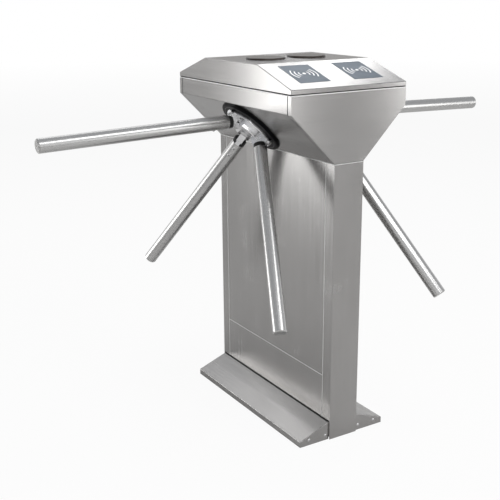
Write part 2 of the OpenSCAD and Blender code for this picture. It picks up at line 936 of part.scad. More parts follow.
module hub_body() {
    bevel = 1.5;
    pad = 10;                       // half the width of the pad under a clamp bolt's head
    difference() {
        union() {
            translate([0, 0, hub_foot])
                cylinder(r = hub_core_r, h = hub_low - hub_foot + cut);
            rotate_extrude($fn = 128)
                polygon([[0, hub_low], [hub_r, hub_low], [hub_r, hub_deck - bevel],
                         [hub_r - bevel, hub_deck], [0, hub_deck]]);
            // Boss with six broad flats and a narrow one at each corner
            intersection() {
                rotate([0, 0, 30])
                    boss_block(boss_flat);
                boss_block(boss_flat * cos(30) + boss_side / 2 * sin(30));
            }
            intersection() {
                translate([0, 0, hub_low + 1])
                    cylinder(r = hub_r + 20, h = 60);
                for (k = [0 : 2])
                    in_arm(k)
                        lug();
            }
            for (k = [0 : 2])
                rotate([0, 0, 120 * k])
                    block([clamp_in, -pad, hub_low + 0.5], [pad_out, pad, clamp_h + clamp_head_r - 1]);
        }
        for (k = [0 : 2]) {
            root_slab(k, fit_gap);
            clamp_bore(k, clamp_r + run, clamp_in, pad_out + cut);
        }
        translate([0, 0, hub_foot - cut])
            cylinder(r = shaft_d / 2, h = boss_top);
    }
}

module hub(side) {
    color("gainsboro")
        on_rotor(side)
            hub_body();
}

module hub_left() { hub(0); }
module hub_right() { hub(1); }

module arm_root(side, k) {
    difference() {
        union() {
            on_rotor(side)
                root_slab(k, 0);
            on_arm(side, k)
                block([-spigot_half, -root_t / 2, tube_from - 2],
                      [spigot_half, root_t / 2, tube_from + spigot_l]);
        }
        on_rotor(side)
            clamp_bore(k, clamp_r + run, clamp_in, hub_r);
        on_arm(side, k)
            for (d = screw_at)
                translate([-tube_r, 0, tube_from + d])
                    rotate([0, 90, 0])
                        cylinder(r = 2.5 + run, h = tube_r);
    }
}

module arm_roots(side) {
    color("lightgray")
        for (k = [0 : 2])
            arm_root(side, k);
}

module arm_roots_left() { arm_roots(0); }
module arm_roots_right() { arm_roots(1); }

module arm_tube(side, k) {
    color(steel)
        on_arm(side, k)
            difference() {
                pipe(tube_r, tube_in, tube_from, arm_reach - cap_t);
                for (d = screw_at)
                    translate([-tube_r - cut, 0, tube_from + d])
                        rotate([0, 90, 0])
                            cylinder(r = 2.5 + fit_gap, h = tube_r);
            }
}

module arm_tube_left_1() { arm_tube(0, 0); }
module arm_tube_left_2() { arm_tube(0, 1); }
module arm_tube_left_3() { arm_tube(0, 2); }
module arm_tube_right_1() { arm_tube(1, 0); }
module arm_tube_right_2() { arm_tube(1, 1); }
module arm_tube_right_3() { arm_tube(1, 2); }

// Two black half-round fillers beside the root plate in each tube's mouth
module arm_plugs(side) {
    color(black)
        for (k = [0 : 2])
            on_arm(side, k)
                difference() {
                    translate([0, 0, tube_from - plug_out]) {
                        cylinder(r = tube_in - run, h = plug_out + 12);
                        cylinder(r = tube_r - 0.3, h = plug_out - run);
                    }
                    block([-tube_r, -root_t / 2, tube_from - plug_out - cut],
                          [tube_r, root_t / 2, tube_from + 12 + cut]);
                    lug_plate(fit_gap, 2 * (lug_half + fit_gap));
                }
}

module arm_plugs_left() { arm_plugs(0); }
module arm_plugs_right() { arm_plugs(1); }

module arm_cap() {
    bevel = 2.5;
    rotate_extrude()
        polygon([[0, -18], [tube_in - run, -18], [tube_in - run, 0], [tube_r, 0],
                 [tube_r, cap_t - bevel], [tube_r - bevel, cap_t], [0, cap_t]]);
}

module arm_caps(side) {
    color("darkgray")
        for (k = [0 : 2])
            on_arm(side, k)
                translate([0, 0, arm_reach - cap_t])
                    arm_cap();
}

module arm_caps_left() { arm_caps(0); }
module arm_caps_right() { arm_caps(1); }

// Screws that hold the tubes on the root plates, and the bolts that clamp the roots in the hub
module arm_screws(side) {
    color("gainsboro")
        for (k = [0 : 2]) {
            on_arm(side, k) {
                for (d = screw_at)
                    translate([-tube_r, 0, tube_from + d]) {
                        rotate([0, 90, 0])
                            cylinder(r = 2.5, h = tube_r - 3);
                        rotate([0, -90, 0])
                            rivet(4.6, 2.2);
                    }
            }
            on_rotor(side) {
                clamp_bore(k, clamp_r, clamp_in, pad_out);
                rotate([0, 0, 120 * k])
                    translate([pad_out, 0, clamp_h])
                        rotate([0, 90, 0])
                            rotate([0, 0, 30])
                                cylinder(r = clamp_head_r, h = 7, $fn = 6);
            }
        }
}

module arm_screws_left() { arm_screws(0); }
module arm_screws_right() { arm_screws(1); }

module shaft(side) {
    r = shaft_d / 2 - run;
    color("silver")
        on_rotor(side) {
            translate([0, 0, disc_low - 6])
                cylinder(r = r, h = boss_top - disc_low + 6);
            translate([0, 0, boss_top])
                cylinder(r = 17, h = 2);
            translate([0, 0, boss_top + 2])
                rivet(13, 3.5);
        }
}

module shaft_left() { shaft(0); }
module shaft_right() { shaft(1); }

// Spur gear outline: a tooth points along the X axis when offset is 0, a gap when it is 0.5
function gear_outline(z, offset) =
    let (r = gear_m * z / 2, top = r + gear_m * 0.95, root = r - gear_m * 1.2,
         tip_a = 360 / z * 0.11, pitch_a = 360 / z * 0.225, root_a = 360 / z * 0.31)
    [for (i = [0 : z - 1])
        for (p = [[root, -root_a], [r, -pitch_a], [top, -tip_a], [top, tip_a], [r, pitch_a], [root, root_a]])
            let (a = 360 / z * (i + offset) + p[1])
            [p[0] * cos(a), p[0] * sin(a)]];

module rotor_gear() {
    difference() {
        union() {
            translate([0, 0, gear_low])
                linear_extrude(height = gear_w)
                    rotate([0, 0, 90])
                        polygon(gear_outline(gear_z, 0.5));
            translate([0, 0, disc_top])
                cylinder(r = shaft_d / 2 + 8, h = gear_top - disc_top + 3);
        }
        translate([0, 0, disc_low])
            cylinder(r = shaft_d / 2, h = gear_top - disc_low + 10);
        for (a = [0 : 60 : 300])
            rotate([0, 0, a])
                translate([33, 0, gear_low - cut])
                    cylinder(r = 8, h = gear_w + 2 * cut);
    }
}

module lock_disc() {
    difference() {
        translate([0, 0, disc_low])
            cylinder(d = disc_d, h = disc_t);
        for (a = [-90 : 60 : 210])
            rotate([0, 0, a])
                block([disc_d / 2 - notch_depth, -notch_half, disc_low - cut],
                      [disc_d / 2 + cut, notch_half, disc_top + cut]);
        translate([0, 0, disc_low - cut])
            cylinder(r = shaft_d / 2, h = disc_t + 2 * cut);
    }
}

module shaft_discs(side) {
    color("darkgray")
        on_rotor(side) {
            rotor_gear();
            lock_disc();
        }
}

module shaft_discs_left() { shaft_discs(0); }
module shaft_discs_right() { shaft_discs(1); }

module pinion(side) {
    color("goldenrod")
        on_rotor(side)
            translate([0, motor_y, 0]) {
                translate([0, 0, gear_low])
                    linear_extrude(height = gear_w)
                        rotate([0, 0, -90])
                            polygon(gear_outline(pinion_z, 0));
                translate([0, 0, gear_low - 3])
                    cylinder(r = 5, h = motor_low + 10 - gear_low);
            }
}

module pinion_left() { pinion(0); }
module pinion_right() { pinion(1); }

// Lock lever: its tooth goes into a notch of the lock disc when the solenoid pushes
module lock_lever(side) {
    bar = 6;
    end_u = push_u + 9;
    slot = 5;
    color("slategray")
        on_rotor(side)
            difference() {
                union() {
                    block([pivot_u, pivot_y - bar, disc_low], [end_u, pivot_y + bar, disc_top]);
                    block([-5.5, pivot_y, disc_low], [5.5, -tooth_rest, disc_top]);
                    translate([pivot_u, pivot_y, disc_low])
                        cylinder(r = 10, h = disc_t);
                }
                translate([pivot_u, pivot_y, disc_low - cut])
                    cylinder(r = 4 + run, h = disc_t + 2 * cut);
                block([push_u - slot, push_y - pin_r - 0.25, disc_low - cut],
                      [push_u + slot, push_y + pin_r + 0.25, disc_top + cut]);
            }
}

module lock_lever_left() { lock_lever(0); }
module lock_lever_right() { lock_lever(1); }

module plunger(side) {
    mid = (disc_top + disc_low) / 2;
    yoke_y = push_y - 13;
    cheek = 2.6;
    gap = 0.8;
    half = 6;
    color("silver")
        on_rotor(side) {
            translate([push_u, yoke_y - 28, mid])
                rotate([-90, 0, 0])
                    cylinder(r = plunger_r, h = 30);
            block([push_u - half, yoke_y, disc_low - gap - cheek],
                  [push_u + half, yoke_y + 4, disc_top + gap + cheek]);
            block([push_u - half, yoke_y, disc_low - gap - cheek],
                  [push_u + half, push_y + half, disc_low - gap]);
            block([push_u - half, yoke_y, disc_top + gap],
                  [push_u + half, push_y + half, disc_top + gap + cheek]);
            translate([push_u, push_y, disc_low - gap - cheek])
                cylinder(r = pin_r, h = disc_t + 2 * (gap + cheek));
        }
}

module plunger_left() { plunger(0); }
module plunger_right() { plunger(1); }

base_plate();
cable_grommet();
inner_frame();
column_front_cover();
column_back_cover();
upper_panel_left();
upper_panel_right();
lower_panel_left();
lower_panel_right();
toe_cover_left();
toe_cover_right();
head_front_plate();
head_back_plate();
head_side_left();
head_side_right();
lid_seal();
casing_fasteners();
control_board();
power_supply();
wiring_terminals();
rotor_collars();
chassis_plates();
bearing_housings();
bearings();
gearmotors();
solenoids();
position_sensors();
lever_springs();
lock_barrel();
lock_cam();
top_lid();
reader_windows();
indicator_lenses();
lid_boards();
hub_left();
arm_tube_left_1();
arm_tube_left_2();
arm_tube_left_3();
arm_roots_left();
arm_plugs_left();
arm_caps_left();
arm_screws_left();
shaft_left();
shaft_discs_left();
pinion_left();
lock_lever_left();
plunger_left();
hub_right();
arm_tube_right_1();
arm_tube_right_2();
arm_tube_right_3();
arm_roots_right();
arm_plugs_right();
arm_caps_right();
arm_screws_right();
shaft_right();
shaft_discs_right();
pinion_right();
lock_lever_right();
plunger_right();
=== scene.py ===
import math

import bmesh
import bpy
from mathutils import Matrix, Vector
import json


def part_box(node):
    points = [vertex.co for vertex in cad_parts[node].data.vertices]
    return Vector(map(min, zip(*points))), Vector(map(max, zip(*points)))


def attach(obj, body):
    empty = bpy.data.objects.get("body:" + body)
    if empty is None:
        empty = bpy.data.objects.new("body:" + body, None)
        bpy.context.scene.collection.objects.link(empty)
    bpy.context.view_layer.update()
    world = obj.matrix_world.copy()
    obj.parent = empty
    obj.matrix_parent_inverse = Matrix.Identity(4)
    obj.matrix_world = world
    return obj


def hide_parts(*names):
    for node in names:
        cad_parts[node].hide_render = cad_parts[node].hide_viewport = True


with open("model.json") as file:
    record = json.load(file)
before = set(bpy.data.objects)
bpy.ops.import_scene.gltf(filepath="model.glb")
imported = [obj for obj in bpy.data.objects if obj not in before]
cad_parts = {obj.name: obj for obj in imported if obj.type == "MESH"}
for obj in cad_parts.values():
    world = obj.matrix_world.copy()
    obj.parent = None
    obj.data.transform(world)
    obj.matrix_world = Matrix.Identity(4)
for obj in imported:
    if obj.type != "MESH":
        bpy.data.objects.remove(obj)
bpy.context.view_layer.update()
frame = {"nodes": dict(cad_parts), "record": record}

scene = bpy.context.scene
record = frame["record"]
bodyOf = {node: body for body, nodes in record["behaviour"]["bodies"].items() for node in nodes}
slotOf = {part["node"]: part["material_slot"] for part in record["subparts"]}
sides = {"left": -1, "right": 1}    # which way along X
mm = 0.001
print("frame loaded:", len(frame["nodes"]), "nodes")


# Camera: where the photograph was taken from
cameraView = {
    "place": (-1.4138, -2.1171, 1.2483),
    "heading": -31.33,      # degrees round Z, 0 looks along +Y
    "pitch": 16.73,         # degrees down
    "roll": -0.49,
    "focalPixels": 883.3,   # focal length in a 500 pixel wide frame
    "framePixels": 500,
    "sensor": 36.0,
}


def makeCamera(view):
    data = bpy.data.cameras.new("camera")
    data.sensor_width = view["sensor"]
    data.lens = view["focalPixels"] / view["framePixels"] * view["sensor"]
    data.clip_end = 200
    camera = bpy.data.objects.new("camera", data)
    turn = Matrix.Rotation(math.radians(view["heading"]), 4, "Z")
    turn @= Matrix.Rotation(math.radians(90 - view["pitch"]), 4, "X")
    turn @= Matrix.Rotation(math.radians(view["roll"]), 4, "Z")
    camera.matrix_world = Matrix.Translation(view["place"]) @ turn
    scene.collection.objects.link(camera)
    scene.camera = camera


makeCamera(cameraView)
scene.view_settings.view_transform = "Standard"


# Shader tools: Value is one socket with arithmetic, Shader builds a material round a Principled node

class Value:
    def __init__(self, shader, socket):
        self.shader = shader
        self.socket = socket

    def maths(self, operation, *others):
        return self.shader.node("ShaderNodeMath", {"operation": operation}, dict(enumerate((self, *others))))

    def __add__(self, other):
        return self.maths("ADD", other)

    def __mul__(self, other):
        return self.maths("MULTIPLY", other)

    def __sub__(self, other):
        return self.maths("SUBTRACT", other)

    def __rsub__(self, other):
        return self.shader.node("ShaderNodeMath", {"operation": "SUBTRACT"}, {0: other, 1: self})

    __radd__ = __add__
    __rmul__ = __mul__


class Shader:
    def __init__(self, name, tree=None):
        if tree is None:
            self.material = bpy.data.materials.new(name)
            self.material.use_nodes = True
            tree = self.material.node_tree
        self.tree = tree
        tree.nodes.clear()
        self.place = self.node("ShaderNodeTexCoord", {}, {}, "Object")

    def node(self, kind, settings, inputs, output=0):
        made = self.tree.nodes.new(kind)
        for key, setting in settings.items():
            setattr(made, key, setting)
        for key, value in inputs.items():
            if isinstance(value, Value):
                self.tree.links.new(value.socket, made.inputs[key])
            else:
                made.inputs[key].default_value = value
        return Value(self, made.outputs[output]) if made.outputs else made

    def mapped(self, scale, turn=(0, 0, 0)):
        # turned first and scaled after that, so that a grain can run in any direction
        place = self.place
        if any(turn):
            place = self.node("ShaderNodeMapping", {}, {"Vector": place, "Rotation": turn})
        return self.node("ShaderNodeMapping", {}, {"Vector": place, "Scale": scale})

    def noise(self, scale, detail, roughness, vector=None):
        inputs = {"Vector": vector or self.place, "Scale": scale, "Detail": detail, "Roughness": roughness}
        return self.node("ShaderNodeTexNoise", {}, inputs, "Fac")

    def spread(self, value, low, high):
        # stretches the middle of a noise over 0 to 1
        inputs = {"Value": value, "From Min": low, "From Max": high, "To Min": 0.0, "To Max": 1.0}
        return self.node("ShaderNodeMapRange", {"clamp": True}, inputs)

    def mix(self, factor, colourA, colourB):
        # sockets 6 and 7 are the Mix node's two colours, and output 2 is the colour that comes out
        inputs = {0: factor, 6: self.colour(colourA), 7: self.colour(colourB)}
        return self.node("ShaderNodeMix", {"data_type": "RGBA"}, inputs, 2)

    def colour(self, value):
        if isinstance(value, Value) or len(value) == 4:
            return value
        return (*value, 1)

    def bump(self, height, distance, strength):
        return self.node("ShaderNodeBump", {}, {"Height": height, "Distance": distance, "Strength": strength})

    def surface(self, inputs):
        principled = self.node("ShaderNodeBsdfPrincipled", {}, inputs)
        self.node("ShaderNodeOutputMaterial", {}, {"Surface": principled})
        return self.material


# Brushed sheet: long fine streaks along one axis, cloudy rolling tone and a few rubbed patches
steelLook = {
    "colour": (0.40, 0.393, 0.386),
    "shade": (0.325, 0.318, 0.311),
    "metallic": 0.94,
    "roughness": 0.23,
    "streak": 0.09,         # how far the fine grain moves the roughness
    "bandStreak": 1.3,      # how much further the broad bands move it
    "rubbed": 0.05,         # the same for the rubbed patches
    "fine": {"across": 1400.0, "along": 9.0},
    "broad": {"across": 260.0, "along": 3.0},
    "grainDepth": 0.00004,
    "stretch": 0.75,        # how far highlights are drawn out across the grain
    "stretchTurn": 0.25,
}


def steel(name, axis, look=steelLook, turn=(0, 0, 0)):
    s = Shader(name)
    fine = [look["fine"]["along" if i == axis else "across"] for i in range(3)]
    broad = [look["broad"]["along" if i == axis else "across"] for i in range(3)]
    grain = s.noise(scale=1.0, detail=2.0, roughness=0.6, vector=s.mapped(fine, turn))
    band = s.noise(scale=1.0, detail=3.0, roughness=0.55, vector=s.mapped(broad, turn))
    cloud = s.noise(scale=2.6, detail=3.0, roughness=0.55)
    rub = s.spread(s.noise(scale=9.0, detail=4.0, roughness=0.6), low=0.56, high=0.74)
    tone = s.spread(cloud * 0.5 + band * 0.3 + grain * 0.2, low=0.34, high=0.66)
    streaks = (grain - 0.5) * look["streak"] + (band - 0.5) * look["streak"] * look["bandStreak"]
    return s.surface({
        "Base Color": s.mix(tone, look["shade"], look["colour"]),
        "Metallic": look["metallic"],
        "Roughness": look["roughness"] + streaks + rub * look["rubbed"],
        "Anisotropic": look["stretch"],
        "Anisotropic Rotation": look["stretchTurn"],
        "Normal": s.bump(grain * 0.7 + band * 0.3, look["grainDepth"], strength=0.5),
    })


def darker(colour, share):
    return tuple(share * c for c in colour)


def casting(name, colour, roughness, depth, pebbles=900.0):
    # cast and blasted metal: pebbled skin, paler where hands and cloths rub it
    s = Shader(name)
    pebble = s.noise(pebbles, detail=3.0, roughness=0.6)
    cloud = s.noise(scale=30.0, detail=4.0, roughness=0.6)
    return s.surface({
        "Base Color": s.mix(s.spread(cloud, low=0.35, high=0.65), darker(colour, 0.84), colour),
        "Metallic": 0.9,
        "Roughness": roughness + (cloud - 0.5) * 0.16 + (pebble - 0.5) * 0.1,
        "Normal": s.bump(pebble, depth, strength=0.35),
    })


def plastic(name, colour, roughness, grainScale=700.0, depth=0.0001, gloss=0.5, dusty=0.18):
    # moulded plastic: fine grain, faint flow marks and dust in the low spots
    s = Shader(name)
    grain = s.noise(grainScale, detail=2.0, roughness=0.5)
    flow = s.noise(scale=14.0, detail=3.0, roughness=0.5, vector=s.mapped((1.0, 2.2, 0.7)))
    dust = s.spread(s.noise(scale=60.0, detail=5.0, roughness=0.65), low=0.60, high=0.82)
    pale = tuple(min(1.0, c * 1.3 + 0.002) for c in colour)
    worn = s.mix(s.spread(flow, low=0.3, high=0.7), colour, pale)
    return s.surface({
        "Base Color": s.mix(dust * dusty, worn, (0.42, 0.41, 0.40)),
        "Roughness": roughness + (grain - 0.5) * 0.08 + dust * 0.14,
        "Specular IOR Level": gloss,
        "Normal": s.bump(grain, depth, strength=0.3),
    })


def paint(name, colour, roughness):
    # sprayed paint: orange-peel skin, scuffs that let a little metal through
    s = Shader(name)
    peel = s.noise(scale=380.0, detail=2.0, roughness=0.5)
    cloud = s.noise(scale=7.0, detail=3.0, roughness=0.5)
    scuff = s.spread(s.noise(scale=45.0, detail=6.0, roughness=0.7), low=0.66, high=0.72)
    body = s.mix(s.spread(cloud, low=0.35, high=0.65), darker(colour, 0.85), colour)
    return s.surface({
        "Base Color": s.mix(scuff * 0.5, body, (0.5, 0.5, 0.5)),
        "Metallic": scuff * 0.6,
        "Roughness": roughness + (peel - 0.5) * 0.1 - scuff * 0.08,
        "Normal": s.bump(peel, distance=0.0002, strength=0.4),
    })


def board(name, colour):
    # circuit board: solder mask with copper tracks that run both ways and tinned pads
    s = Shader(name)
    across = s.node("ShaderNodeTexWave", {"bands_direction": "Y"}, {"Vector": s.place, "Scale": 75.0}, "Fac")
    up = s.node("ShaderNodeTexWave", {"bands_direction": "Z"}, {"Vector": s.place, "Scale": 60.0}, "Fac")
    gate = s.spread(s.noise(scale=90.0, detail=1.0, roughness=0.5), low=0.47, high=0.5)
    track = s.spread(across, low=0.80, high=0.86) * gate + s.spread(up, low=0.80, high=0.86) * (1 - gate)
    cells = s.node("ShaderNodeTexVoronoi", {}, {"Vector": s.place, "Scale": 260.0}, "Distance")
    pad = 1 - s.spread(cells, low=0.16, high=0.2)
    lit = tuple(min(1.0, 1.7 * c) for c in colour)
    return s.surface({
        "Base Color": s.mix(pad, s.mix(track, colour, lit), (0.62, 0.60, 0.55)),
        "Metallic": pad * 0.9,
        "Roughness": 0.42 - track * 0.1 - pad * 0.1,
        "Normal": s.bump(track * 0.5 + pad, distance=0.0001, strength=0.5),
    })


def turned(name, colour, roughness, metallic=0.95):
    # turned or ground metal: fine tool rings seen as a close ripple, faint stains
    s = Shader(name)
    ripple = s.noise(scale=1500.0, detail=1.0, roughness=0.5, vector=s.mapped((1.0, 0.15, 1.0)))
    stain = s.spread(s.noise(scale=40.0, detail=4.0, roughness=0.6), low=0.5, high=0.75)
    return s.surface({
        "Base Color": s.mix(stain * 0.6, colour, darker(colour, 0.7)),
        "Metallic": metallic,
        "Roughness": roughness + (ripple - 0.5) * 0.12 + stain * 0.08,
        "Normal": s.bump(ripple, distance=0.00004, strength=0.4),
    })


# One finish for each material slot of the construction
finishes = {
    "brushed_sheet": steel("sheetGrainAlongY", 1),
    "cast_hub": casting("castHub", (0.84, 0.84, 0.845), 0.22, depth=0.00015),
    "plain_steel": turned("plainSteel", (0.60, 0.60, 0.60), 0.24),
    "frame_paint": paint("framePaint", (0.16, 0.165, 0.17), 0.5),
    "black_collar": plastic("collarBlack", (0.003, 0.003, 0.0035), 0.34,
                            grainScale=500.0, depth=0.00005, gloss=0.04, dusty=0.01),
    "black_plug": plastic("plugBlack", (0.014, 0.014, 0.014), 0.5, gloss=0.2, dusty=0.08),
    "seal_rubber": plastic("sealRubber", (0.02, 0.02, 0.02), 0.62, gloss=0.2),
    "reader_slate": plastic("readerSlate", (0.105, 0.128, 0.155), 0.34,
                            grainScale=600.0, depth=0.00002, gloss=0.05, dusty=0.06),
    "lens_dark": plastic("lensDark", (0.028, 0.02, 0.016), 0.14,
                         grainScale=600.0, depth=0.00002, gloss=0.4, dusty=0.05),
    "board_green": board("boardGreen", (0.03, 0.14, 0.06)),
    "board_blue": board("boardBlue", (0.03, 0.10, 0.20)),
    "case_zinc": turned("caseZinc", (0.62, 0.63, 0.64), 0.38),
    "terminal_grey": plastic("terminalGrey", (0.30, 0.32, 0.34), 0.45),
    "bracket_alloy": turned("bracketAlloy", (0.66, 0.66, 0.67), 0.32),
    "bearing_steel": turned("bearingSteel", (0.70, 0.70, 0.72), 0.14),
    "motor_black": paint("motorBlack", (0.05, 0.055, 0.06), 0.42),
    "solenoid_blue": paint("solenoidBlue", (0.06, 0.11, 0.20), 0.4),
    "sensor_orange": plastic("sensorOrange", (0.55, 0.17, 0.03), 0.4),
    "gear_brass": turned("gearBrass", (0.68, 0.48, 0.18), 0.26),
}
print("finishes made")


# Tools for new pieces
meshCare = {
    "merge": 0.005 * mm,    # corners closer than this become one
    "flatAngle": 0.5,       # degrees between triangles that become one face
    "smoothAngle": 35,      # degrees, above which an edge is drawn sharp
}


def cleanCopy(node):
    # the node's loose triangles as one closed mesh with whole faces
    bm = bmesh.new()
    bm.from_mesh(frame["nodes"][node].data)
    bmesh.ops.remove_doubles(bm, verts=bm.verts, dist=meshCare["merge"])
    flat = math.radians(meshCare["flatAngle"])
    bmesh.ops.dissolve_limit(bm, angle_limit=flat, verts=bm.verts, edges=bm.edges)
    return bm


def bevel(bm, edges, radius, segments, clamp=True):
    bmesh.ops.bevel(bm, geom=edges, offset=radius, offset_type="OFFSET", affect="EDGES",
                    segments=segments, profile=0.5, material=-1, clamp_overlap=clamp)


def sharpEdges(bm, angle):
    # edges between two faces that turn outwards by more than the angle
    return [edge for edge in bm.edges
            if len(edge.link_faces) == 2 and edge.calc_face_angle_signed(0) > math.radians(angle)]


def addBlock(bm, low, high):
    middle = [(a + b) / 2 for a, b in zip(low, high)]
    size = [b - a for a, b in zip(low, high)]
    made = bmesh.ops.create_cube(bm, size=1.0)
    bmesh.ops.scale(bm, vec=size, verts=made["verts"])
    bmesh.ops.translate(bm, vec=middle, verts=made["verts"])


def meshFrom(bm, name, smoothAngle=meshCare["smoothAngle"]):
    mesh = bpy.data.meshes.new(name)
    for face in bm.faces:
        face.smooth = True
    for edge in bm.edges:
        if len(edge.link_faces) == 2 and edge.calc_face_angle(0) > math.radians(smoothAngle):
            edge.smooth = False
    bm.to_mesh(mesh)
    bm.free()
    return mesh


redrawn = set()     # CAD nodes that a new piece takes the place of


def finishObject(name, mesh, body, material, replaced=()):
    piece = bpy.data.objects.new(name, mesh)
    scene.collection.objects.link(piece)
    mesh.materials.append(material)
    # flat faces keep their own direction beside a rounded edge
    weighted = piece.modifiers.new("weightedNormals", "WEIGHTED_NORMAL")
    weighted.mode = "FACE_AREA"
    weighted.weight = 100
    weighted.keep_sharp = True
    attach(piece, body)
    if replaced:
        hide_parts(*replaced)
        redrawn.update(replaced)


# Sheets, each with its grain along the edge that it was bent on: 0 for X, 1 for Y, 2 for Z
sheetGrain = {
    "head_front_plate": 0, "head_back_plate": 0, "head_side_left": 1, "head_side_right": 1,
    "top_lid": 1, "column_front_cover": 2, "column_back_cover": 2,
    "upper_panel_left": 2, "upper_panel_right": 2, "lower_panel_left": 2, "lower_panel_right": 2,
    "toe_cover_left": 1, "toe_cover_right": 1,
}
sheetFinish = [steel("sheetGrainAlongX", 0), finishes["brushed_sheet"], steel("sheetGrainAlongZ", 2)]
sheetFolds = {
    "radius": 1.6 * mm,
    "segments": 4,
    "angle": 15,
    "smallestFace": 1400 * mm * mm,     # both faces of a fold are larger than this
}


def foldSheet(node):
    bm = cleanCopy(node)
    folds = []
    for edge in sharpEdges(bm, sheetFolds["angle"]):
        if min(face.calc_area() for face in edge.link_faces) > sheetFolds["smallestFace"]:
            folds.append(edge)
    bevel(bm, folds, sheetFolds["radius"], sheetFolds["segments"])
    name = "".join(word.capitalize() for word in node.split("_")) + "Sheet"
    finishObject(name, meshFrom(bm, name), bodyOf[node], sheetFinish[sheetGrain[node]], [node])


for node in sheetGrain:
    foldSheet(node)
print("sheets folded:", len(sheetGrain))


# Frames of the rotors and arms, as the construction sets them
rotorPlace = {
    "middle": (-117.664 * mm, 0, 867.664 * mm),     # left rotor, on the sloping plate
    "apex": 28 * mm,        # how far the arms' lines meet behind the plate
    "cone": 43.5,           # degrees between an arm and the rotor's axis
    "tubeRadius": 19 * mm,
    "tubeStart": 99 * mm,
    "screws": [17 * mm, 43 * mm],   # from the start of a tube
}


def rotorFrame(side):
    up = Vector((-1, 0, 1)).normalized()
    out = Vector((-1, 0, -1)).normalized()
    frameMatrix = Matrix((up, out.cross(up), out)).transposed().to_4x4()
    frameMatrix.translation = rotorPlace["middle"]
    return Matrix.Rotation(math.pi if side == "right" else 0, 4, "Z") @ frameMatrix


def armFrame(side, number):
    # Z runs out along the arm
    frameMatrix = rotorFrame(side) @ Matrix.Translation((0, 0, -rotorPlace["apex"]))
    frameMatrix @= Matrix.Rotation(math.radians(120 * (number - 1)), 4, "Z")
    return frameMatrix @ Matrix.Rotation(math.radians(rotorPlace["cone"]), 4, "Y")


# Arm tubes: polished along their length, so each has its grain turned to its own direction
tubeLook = {
    **steelLook,
    "colour": (0.57, 0.567, 0.56),
    "shade": (0.49, 0.487, 0.48),
    "roughness": 0.27,
    "streak": 0.03,
    "rubbed": 0.02,
    "grainDepth": 0.000002,
    "stretch": 0.0,
    "stretchTurn": 0.0,
}
tubeRings = 14      # lengths that each tube is cut into, so that its long facets shade evenly
capSteel = casting("capSteel", (0.60, 0.595, 0.585), 0.24, depth=0.00001, pebbles=120.0)


def drawTube(side, number):
    node = f"arm_tube_{side}_{number}"
    place = armFrame(side, number)
    along = place.to_3x3() @ Vector((0, 0, 1))
    bm = cleanCopy(node)
    reach = [(vert.co - place.translation).dot(along) for vert in bm.verts]
    start, end = min(reach), max(reach)
    for ring in range(1, tubeRings):
        cut = place.translation + along * (start + (end - start) * ring / tubeRings)
        whole = bm.verts[:] + bm.edges[:] + bm.faces[:]
        bmesh.ops.bisect_plane(bm, geom=whole, plane_co=cut, plane_no=along)
    material = steel(node + "Steel", 2, tubeLook, tuple(place.to_3x3().inverted().to_euler()))
    name = f"armTube.{side}.{number}"
    finishObject(name, meshFrom(bm, name), bodyOf[node], material, [node])


def drawCaps(side):
    node = "arm_caps_" + side
    name = "armCaps." + side
    finishObject(name, meshFrom(cleanCopy(node), name), bodyOf[node], capSteel, [node])


for side in sides:
    drawCaps(side)
    for number in (1, 2, 3):
        drawTube(side, number)
print("tubes and caps drawn")


# Hubs: castings with their long outer edges rounded
hubEdges = {"radius": 0.9 * mm, "segments": 2, "angle": 40, "shortest": 5 * mm}


def castHub(side):
    node = "hub_" + side
    bm = cleanCopy(node)
    outer = [edge for edge in sharpEdges(bm, hubEdges["angle"]) if edge.calc_length() > hubEdges["shortest"]]
    bevel(bm, outer, hubEdges["radius"], hubEdges["segments"], clamp=False)
    mesh = meshFrom(bm, "hubCasting." + side, hubEdges["angle"])
    finishObject("hubCasting." + side, mesh, bodyOf[node], finishes["cast_hub"], [node])


for side in sides:
    castHub(side)
print("hubs cast")


# Six-sided socket in the head of every screw that holds a tube, drawn as a thin dark hexagon on the head:
# painted shade for the recess
screwSocket = {"radius": 2.0 * mm, "height": 0.5 * mm, "above": 1.85 * mm}


def armSockets(side):
    bm = bmesh.new()
    # dark hexagon: painted shade in place of the socket's recess
    dark = plastic("socketDark." + side, (0.02, 0.02, 0.02), 0.5)
    radius, height = screwSocket["radius"], screwSocket["height"]
    out = -rotorPlace["tubeRadius"] - screwSocket["above"] - height / 2
    for number in (1, 2, 3):
        for distance in rotorPlace["screws"]:
            made = bmesh.ops.create_cone(bm, cap_ends=True, segments=6, depth=height,
                                         radius1=radius, radius2=radius)
            place = armFrame(side, number) @ Matrix.Translation((out, 0, rotorPlace["tubeStart"] + distance))
            bmesh.ops.transform(bm, matrix=place @ Matrix.Rotation(math.pi / 2, 4, "Y"), verts=made["verts"])
    name = "screwSockets." + side
    finishObject(name, meshFrom(bm, name), "rotor_" + side, dark)


for side in sides:
    armSockets(side)


# Rounded bead on each collar, a thin paler line: its round catches real highlights, and its black is drawn
# paler than the collar's as a painted highlight
collarBead = {"radius": 86 * mm, "width": 1.6 * mm, "height": 8 * mm, "steps": 96, "roundSteps": 10}
# bead black paler than the collar's black: painted highlight
beadBlack = plastic("beadBlack", (0.03, 0.03, 0.032), 0.3)


